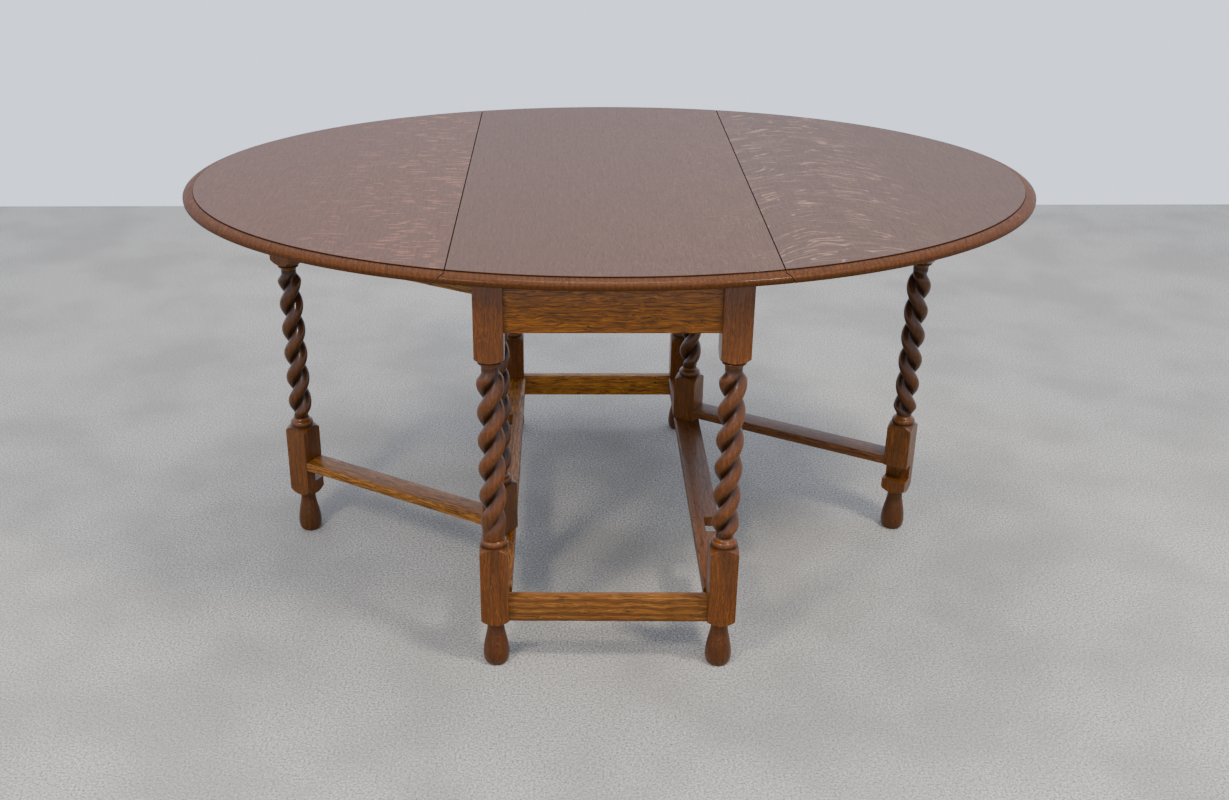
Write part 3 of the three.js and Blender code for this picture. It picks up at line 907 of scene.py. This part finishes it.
def standingLeg(twist, head, footed=True, bottom=0.0):
    wood = squareBlock(leg["topBlock"], head, True, False)
    for part in ("ring", "neck"):
        line = [(r, leg["topBlock"] + z) for r, z in leg[part]]
        boolean(wood, turnedBetween(line), "UNION")
    boolean(wood, twistColumn(*twist), "UNION")
    boolean(wood, turnedBetween(leg["bead"]), "UNION")
    low = leg["lowBlock"][0] if footed else bottom
    boolean(wood, squareBlock(low, leg["lowBlock"][1], footed, True), "UNION")
    if footed:
        boolean(wood, turnedBetween(leg["foot"]), "UNION")
    return wood


# How far each point between the strands lies below their crests, for the dark wax and painted shade in
# the grooves, both also put
# at the ends of the blocks: each seam is its height and how far the dark spreads.
def markWaxAndPaintedShade(wood, worn):
    crest = leg["strandOffset"] + leg["strandDepth"]
    depth = crest - leg["hollowRadius"]
    foot, lowEnd = leg["lowBlock"]
    seams = ((lowEnd, 0.006), (leg["topBlock"], 0.004), (foot, 0.003))
    values = []
    for vertex in wood.data.vertices:
        x, y, z = vertex.co
        value = leg["footDarkening"] if z < foot else 0.0
        # in the twist: an even painted shade, deepening with the wax toward the bottom of the grooves
        if leg["twistBottom"] + 0.004 < z < leg["twistTop"] + 0.004:
            value = worn + (1 - worn) * min(1, max(0, (crest - math.hypot(x, y)) / depth)) ** 1.15
        for seam, spread in seams:
            value = max(value, 0.75 * (1 - abs(z - seam) / spread))
        values.append(value)
    attribute = wood.data.attributes.new("waxAndPaintedShade", "FLOAT", "POINT")
    attribute.data.foreach_set("value", values)


def setDown(wood, name, turn, x, y, material, worn):
    wood.name = name
    markWaxAndPaintedShade(wood, worn)
    smooth(wood, 32)
    giveMaterials(wood, material)
    wood.rotation_euler.z = turn
    wood.location = (x, y, 0)
    applyPlace(wood)
    return wood


# Twists: hand, degrees and height of a lobe, and the fade at the foot.
shortFade = (0.024, 0.0142)
longFade = (0.060, 0.0195)  # the carver let this one run out early and full
cornerTwists = {
    "front_left_leg": (1, 3, 0.434, longFade),
    "front_right_leg": (1, -8, 0.435, shortFade),
    "back_left_leg": (1, 0, 0.430, shortFade),
    "back_right_leg": (1, 0, 0.430, shortFade),
}
cornerTwistShade = 0.12  # painted shade laid over the whole of these twists, crests too


def inCamel(name):
    first, *others = name.split("_")
    return first + "".join(word.capitalize() for word in others)


# Legs with the same twist are copies of one pattern.
def makeCornerLegs():
    patterns = {}
    for node, twist in cornerTwists.items():
        if twist not in patterns:
            hand, degrees, lobeZ, fade = twist
            patterns[twist] = standingLeg((hand, math.radians(degrees), lobeZ, fade), legHead)
        name, middle = inCamel(node), middleOf(node)
        wood = duplicate(patterns[twist], name)
        setDown(wood, name, 0, middle.x, middle.y, legOak, cornerTwistShade)
        place(wood, "frame", [node])
        print(name, len(wood.data.polygons), "faces")
    for pattern in patterns.values():
        bpy.data.objects.remove(pattern)


makeCornerLegs()


# Gates: a turned post on two pins, a notched leg and two flat rails
gate = {
    "pin": 0.006,
    "pinLength": 0.016,
    "pinChamfer": 0.0008,
    "pinRoot": 0.002,  # part of the pin inside the post
    "lapDepth": 0.025,
    "lapBottom": 0.1153,  # height of the notch over the stretcher
    "headLap": 0.626,  # height where the lap for the apron starts
    "railWidth": 0.046,
    "railArris": 0.0018,
    "railBite": 0.0002,  # how far a rail's ends enter the post and leg
    "worn": 0.38,  # painted shade laid over the whole of the gates' twists
    "legs": {"left": (1, 12, 0.445, shortFade), "right": (-1, -15, 0.425, shortFade)},
    "posts": {"left": (1, 3, 0.440, shortFade), "right": (1, -7, 0.447, shortFade)},
}


def makeGate(side):
    body = side + "_gate"
    angle = gateAngle[side]
    pivot = pivots[side]
    legPlace = middleOf(side + "_gate_leg")
    postLow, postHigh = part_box(side + "_gate_post")
    railLow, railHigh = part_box(side + "_gate_lower_rail")
    long, root = gate["pinLength"], gate["pinRoot"]

    hand, degrees, lobeZ, fade = gate["posts"][side]
    twist = (hand, math.radians(degrees) - angle, lobeZ, fade)
    post = standingLeg(twist, postHigh.z - long, footed=False, bottom=postLow.z + long)
    for z0, z1 in ((postLow.z, postLow.z + long + root), (postHigh.z - long - root, postHigh.z)):
        r, chamfer = gate["pin"], gate["pinChamfer"]
        pin = turned([(r - chamfer, z0), (r, z0 + chamfer), (r, z1 - chamfer), (r - chamfer, z1)], 32)
        boolean(post, pin, "UNION")
    setDown(post, side + "GatePost", angle, pivot.x, pivot.y, postOak, gate["worn"])
    place(post, body, [side + "_gate_post"])

    hand, degrees, lobeZ, fade = gate["legs"][side]
    twist = (hand, math.radians(degrees) - angle, lobeZ, fade)
    wood = standingLeg(twist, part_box(side + "_gate_leg")[1].z)
    reach = legHalf + 0.001
    for z0, z1 in ((gate["lapBottom"], railLow.z), (gate["headLap"], topHeight)):
        lap = block((-reach, -reach, z0), (reach, gate["lapDepth"] - legHalf, z1))
        boolean(wood, lap, "DIFFERENCE")
    setDown(wood, side + "GateLeg", angle, legPlace.x, legPlace.y, postOak, gate["worn"])
    place(wood, body, [side + "_gate_leg"])

    start = legHalf - gate["railBite"]
    end = (legPlace.xy - pivot.xy).length - start
    wide = gate["railWidth"] / 2
    for row in ("lower", "upper"):
        node = side + "_gate_" + row + "_rail"
        lowZ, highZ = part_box(node)[0].z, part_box(node)[1].z
        rail = block((start, -wide, lowZ), (end, wide, highZ), name=inCamel(node))
        bevelEdges(rail, lambda a, b: abs(a.x - b.x) > 0.1, gate["railArris"])
        smooth(rail, 50)
        giveMaterials(rail, gateOak[side])
        rail.rotation_euler.z = angle
        rail.location = (pivot.x, pivot.y, 0)
        place(rail, body, [node])
    print(side, "gate made")


makeGate("left")
makeGate("right")


# Aprons and stretchers: planed boards with eased arrises, the side ones notched for the closed gates
rails = {
    "arris": {"apron": 0.0012, "stretcher": 0.0020},
    "lapRoom": 0.003,
    "lapPastPivot": {"apron": 0.0, "stretcher": 0.006},
    "socket": 0.0065,
    "socketDepth": 0.018,
}


def makeEndRails():
    inner = middleOf("front_right_leg").x - legHalf
    for node in ("front_apron", "back_apron", "front_stretcher", "back_stretcher"):
        lowBox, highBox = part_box(node)
        arris = rails["arris"][node.split("_")[1]]
        board = block((-inner, lowBox.y, lowBox.z), (inner, highBox.y, highBox.z), name=inCamel(node))
        bevelEdges(board, lambda a, b: abs(a.x - b.x) > 0.1, arris)
        smooth(board, 50)
        giveMaterials(board, endOak[node])
        place(board, "frame", [node])


def makeSideRails():
    lapY = (middleOf("left_gate_leg").xy - pivots["left"].xy).length + pivots["left"].y
    lap = legHalf + rails["lapRoom"]
    inner = middleOf("back_left_leg").y - legHalf
    for side, sign in (("left", -1), ("right", 1)):
        for kind in ("apron", "stretcher"):
            node = side + "_" + kind
            lowBox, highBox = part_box(node)
            outer = lowBox.x if sign < 0 else highBox.x
            deep = pivots[side].x - sign * rails["lapPastPivot"][kind]
            ends = (lowBox.x, -inner, lowBox.z), (highBox.x, inner, highBox.z)
            board = block(*ends, name=inCamel(node))
            bevelEdges(board, lambda a, b: abs(a.y - b.y) > 0.1, rails["arris"][kind])
            y = -sign * lapY
            past = 0.002  # the cutter stands this far out of the board
            xs = sorted([outer + sign * past, deep])
            notch = block((xs[0], y - lap, lowBox.z - past), (xs[1], y + lap, highBox.z + past))
            boolean(board, notch, "DIFFERENCE")
            mouth = (pivots[side].x, pivots[side].y, lowBox.z if kind == "apron" else highBox.z)
            boolean(board, roundBar(rails["socket"], 2 * rails["socketDepth"], mouth), "DIFFERENCE")
            smooth(board, 50)
            giveMaterials(board, oakAlongY[side])
            place(board, "frame", [node])
    print("aprons and stretchers made")


makeEndRails()
makeSideRails()


# Stops fixed under the leaves, one beside each open gate leg
stopBlock = {
    "length": 0.044,
    "width": 0.018,
    "arris": 0.0015,
}


def makeStops():
    long, wide = stopBlock["length"] / 2, stopBlock["width"] / 2
    for side in ("left", "right"):
        node = side + "_gate_stop"
        middle = middleOf(node)
        lowZ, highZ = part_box(node)[0].z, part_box(node)[1].z
        stop = block((-long, -wide, lowZ), (long, wide, highZ), stopBlock["arris"], inCamel(node), 3)
        smooth(stop, 50)
        giveMaterials(stop, gateOak["left"])
        stop.rotation_euler.z = gateAngle[side]
        stop.location = (middle.x, middle.y, 0)
        place(stop, side + "_leaf", [node])
    print("stops made")


makeStops()


# Hinges: two recessed plates with countersunk screws and three knuckles on a pin
def countersunk(plate, x, y):
    hole = hinge["screwHole"]
    bore = turned([(hole, underside - 0.001), (hole, underside + 0.004)], 20)
    wide = hinge["screwHead"] + 0.0006
    sink = turned([(wide, underside - 0.0005), (hole, underside + 0.0014)], 24)
    for tool in (bore, sink):
        tool.location = (x, y, 0)
        applyPlace(tool)
        boolean(plate, tool, "DIFFERENCE")


# The screw from its head, just inside the plate's face, up to its point.
def makeScrew():
    head, shank = hinge["screwHead"], hinge["screwShank"]
    line = [(head - 0.0002, 0.00005), (head, 0.0002), (shank, 0.0016), (shank, 0.012), (0.0004, 0.015)]
    screw = turned([(r, underside + z) for r, z in line], 24)
    wide, deep = hinge["slotWidth"] / 2, hinge["slotDepth"]
    slot = block((-2 * head, -wide, underside - 0.001), (2 * head, wide, underside + deep))
    return boolean(screw, slot, "DIFFERENCE")


def easeEnds(piece):
    applyModifier(
        piece, "BEVEL", width=hinge["ease"], segments=2,
        limit_method="ANGLE", angle_limit=math.radians(60),
    )


def knuckles(x, spans):
    made = None
    for y0, y1 in spans:
        barrel = roundBar(hinge["knuckle"], y1 - y0, (x, (y0 + y1) / 2, pinZ), lying=True)
        easeEnds(barrel)
        made = barrel if made is None else boolean(made, barrel, "UNION")
    return made


def makePlate(kind):
    x = -jointX
    half = hinge["length"] / 2
    wing = hinge["wing"][kind] * (1 if kind == "fixed" else -1)
    xs = sorted([x, x + wing])
    plate = block((xs[0], -half, underside), (xs[1], half, underside + hinge["thickness"]))
    bevelEdges(
        plate, lambda a, b: abs(a.z - b.z) > 0.001 and abs(a.x - x - wing) < 1e-4, hinge["corner"], 4
    )
    third = hinge["length"] / 6
    if kind == "fixed":
        inner = third + hinge["room"]
        spans = [(-half, -inner), (inner, half)]
        gaps = [(-inner, inner)]
    else:
        spans = [(-third, third)]
        gaps = [(-half - 0.001, -third), (third, half + 0.001)]
    wide, tall = hinge["knuckle"] + 0.001, 0.01
    for y0, y1 in gaps:
        gap = block((x - wide, y0, underside - tall), (x + wide, y1, underside + tall))
        boolean(plate, gap, "DIFFERENCE")
    boolean(plate, knuckles(x, spans), "UNION")
    bore = roundBar(hinge["bore"], hinge["length"] + 0.01, (x, 0, pinZ), lying=True, vertices=24)
    boolean(plate, bore, "DIFFERENCE")
    for sx, sy in hinge["screws"][kind]:
        countersunk(plate, x + math.copysign(sx, wing), sy)
    smooth(plate, 40)
    giveMaterials(plate, brass)
    return plate


def makePin():
    pin = roundBar(hinge["pin"], hinge["length"], (-jointX, 0, pinZ), lying=True, vertices=24)
    easeEnds(pin)
    return pin


def makeHinges():
    plates = {kind: makePlate(kind) for kind in ("fixed", "leaf")}
    screw, pin = makeScrew(), makePin()
    for piece in (screw, pin):
        smooth(piece, 40)
        giveMaterials(piece, screwSteel)
    for side, turn in (("left", 0), ("right", math.pi)):
        for i in range(3):
            label = "%s_hinge_%d" % (side, i + 1)
            y = middleOf(label + "_pin").y
            for kind in ("fixed", "leaf"):
                body = "frame" if kind == "fixed" else side + "_leaf"
                plate = duplicate(plates[kind], inCamel(label + "_" + kind + "_plate"))
                plate.rotation_euler.z = turn
                plate.location.y = y
                place(plate, body, [label + "_" + kind + "_plate"])
                heads = []  # their slots were left at different angles
                for k, (sx, sy) in enumerate(hinge["screws"][kind]):
                    head = duplicate(screw, inCamel(label + "_" + kind + "_screws"))
                    reach = jointX + (sx if kind == "leaf" else -sx)
                    away = -1 if side == "left" else 1
                    head.rotation_euler.z = 0.7 + 1.9 * k + 0.8 * i + turn
                    head.location = (away * reach, y - away * sy, 0)
                    applyPlace(head)
                    heads.append(head)
                clearAll()
                for head in heads:
                    head.select_set(True)
                bpy.context.view_layer.objects.active = heads[0]
                bpy.ops.object.join()
                place(heads[0], body, [])
            shaft = duplicate(pin, inCamel(label + "_pin"))
            shaft.rotation_euler.z = turn
            shaft.location.y = y
            place(shaft, "frame", [label + "_pin"])
    for piece in (*plates.values(), screw, pin):
        bpy.data.objects.remove(piece)
    print("hinges made")


makeHinges()


# Floor, light and camera
stageSettings = {
    "floor": (3.4, 2.3),  # half its length and depth
    "aim": (0, 0, 0.4),
    "worldColour": "#dae1f2",
    "worldStrength": 1.75,
    "lights": [
        # place, width, watts, colour
        ((-1.4, -2.2, 2.6), 0.5, 55, "#fff2e0"),
        ((1.4, -1.4, 3.0), 0.5, 80, "#fff4e4"),
        ((0.0, 0.3, 3.4), 1.2, 60, "#fbf4ea"),
    ],
}
cameraSettings = {
    "place": (-0.0744, -2.4883, 1.4392),
    "pitch": 24.81,  # degrees below level
    "yaw": 1.09,
    "roll": -0.41,
    "lens": 40.13,  # mm, on a 36 mm sensor
    "shiftX": 0.0594,
}


def makeStage():
    clearAll()
    bpy.ops.mesh.primitive_plane_add(size=2, location=(0, 0, 0))
    floor = bpy.context.object
    floor.name = "floor"
    bpy.ops.transform.resize(value=(*stageSettings["floor"], 1))
    applyPlace(floor)
    giveMaterials(floor, paleFloor())
    world = bpy.data.worlds.new("pale studio")
    bpy.context.scene.world = world
    world.use_nodes = True
    background = world.node_tree.nodes["Background"]
    background.inputs["Color"].default_value = linear(stageSettings["worldColour"])
    background.inputs["Strength"].default_value = stageSettings["worldStrength"]
    for i, (spot, size, watts, colour) in enumerate(stageSettings["lights"]):
        light = bpy.data.lights.new("softLight%d" % i, "AREA")
        light.shape = "DISK"
        light.size = size
        light.energy = watts
        light.color = linear(colour)[:3]
        lamp = bpy.data.objects.new("softLight%d" % i, light)
        bpy.context.scene.collection.objects.link(lamp)
        lamp.location = spot
        aim = Vector(stageSettings["aim"]) - Vector(spot)
        lamp.rotation_euler = aim.to_track_quat("-Z", "Y").to_euler()


def makeCamera():
    camera = bpy.data.cameras.new("camera")
    camera.sensor_width = 36
    camera.lens = cameraSettings["lens"]
    camera.shift_x = cameraSettings["shiftX"]
    holder = bpy.data.objects.new("camera", camera)
    bpy.context.scene.collection.objects.link(holder)
    turn = Matrix.Rotation(math.radians(cameraSettings["yaw"]), 4, "Z")
    tilt = Matrix.Rotation(math.radians(90 - cameraSettings["pitch"]), 4, "X")
    roll = Matrix.Rotation(math.radians(cameraSettings["roll"]), 4, "Z")
    holder.matrix_world = Matrix.Translation(cameraSettings["place"]) @ turn @ tilt @ roll
    bpy.context.scene.camera = holder


makeStage()
makeCamera()
clearAll()
print("stage made")
